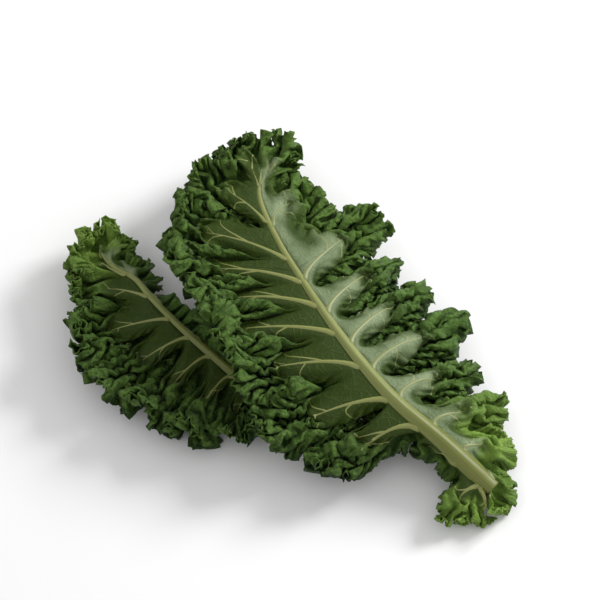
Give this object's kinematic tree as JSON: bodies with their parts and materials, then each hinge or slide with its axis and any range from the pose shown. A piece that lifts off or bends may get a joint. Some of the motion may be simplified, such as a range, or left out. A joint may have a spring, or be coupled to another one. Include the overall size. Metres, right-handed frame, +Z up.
{
  "type": "kale bunch",
  "caption": "Curly kale leaves with pale ribs and tightly frilled edges, lying one over the other with the ribbed undersides up.",
  "frame": {"origin": "middle of the bunch's outline, seen from above, on the surface that it lies on", "axes": "+Z up, away from the surface; the large leaf's midrib runs from its cut end towards -X and +Y to its tip, and the small leaf lies on its -X side"},
  "size_m": [0.327, 0.3072, 0.067],
  "materials": {
    "blade": "living kale leaf: mid to dark green, waxy and softly glossy, paler and greyer on the underside between the veins",
    "rib": "juicy leaf rib and side veins: pale yellow-green, smooth, softly glossy"
  },
  "bodies": {
    "root": {"leaf_1_blade": "blade", "leaf_1_rib": "rib", "leaf_2_blade": "blade", "leaf_2_rib": "rib"}
  },
  "joints": []
}
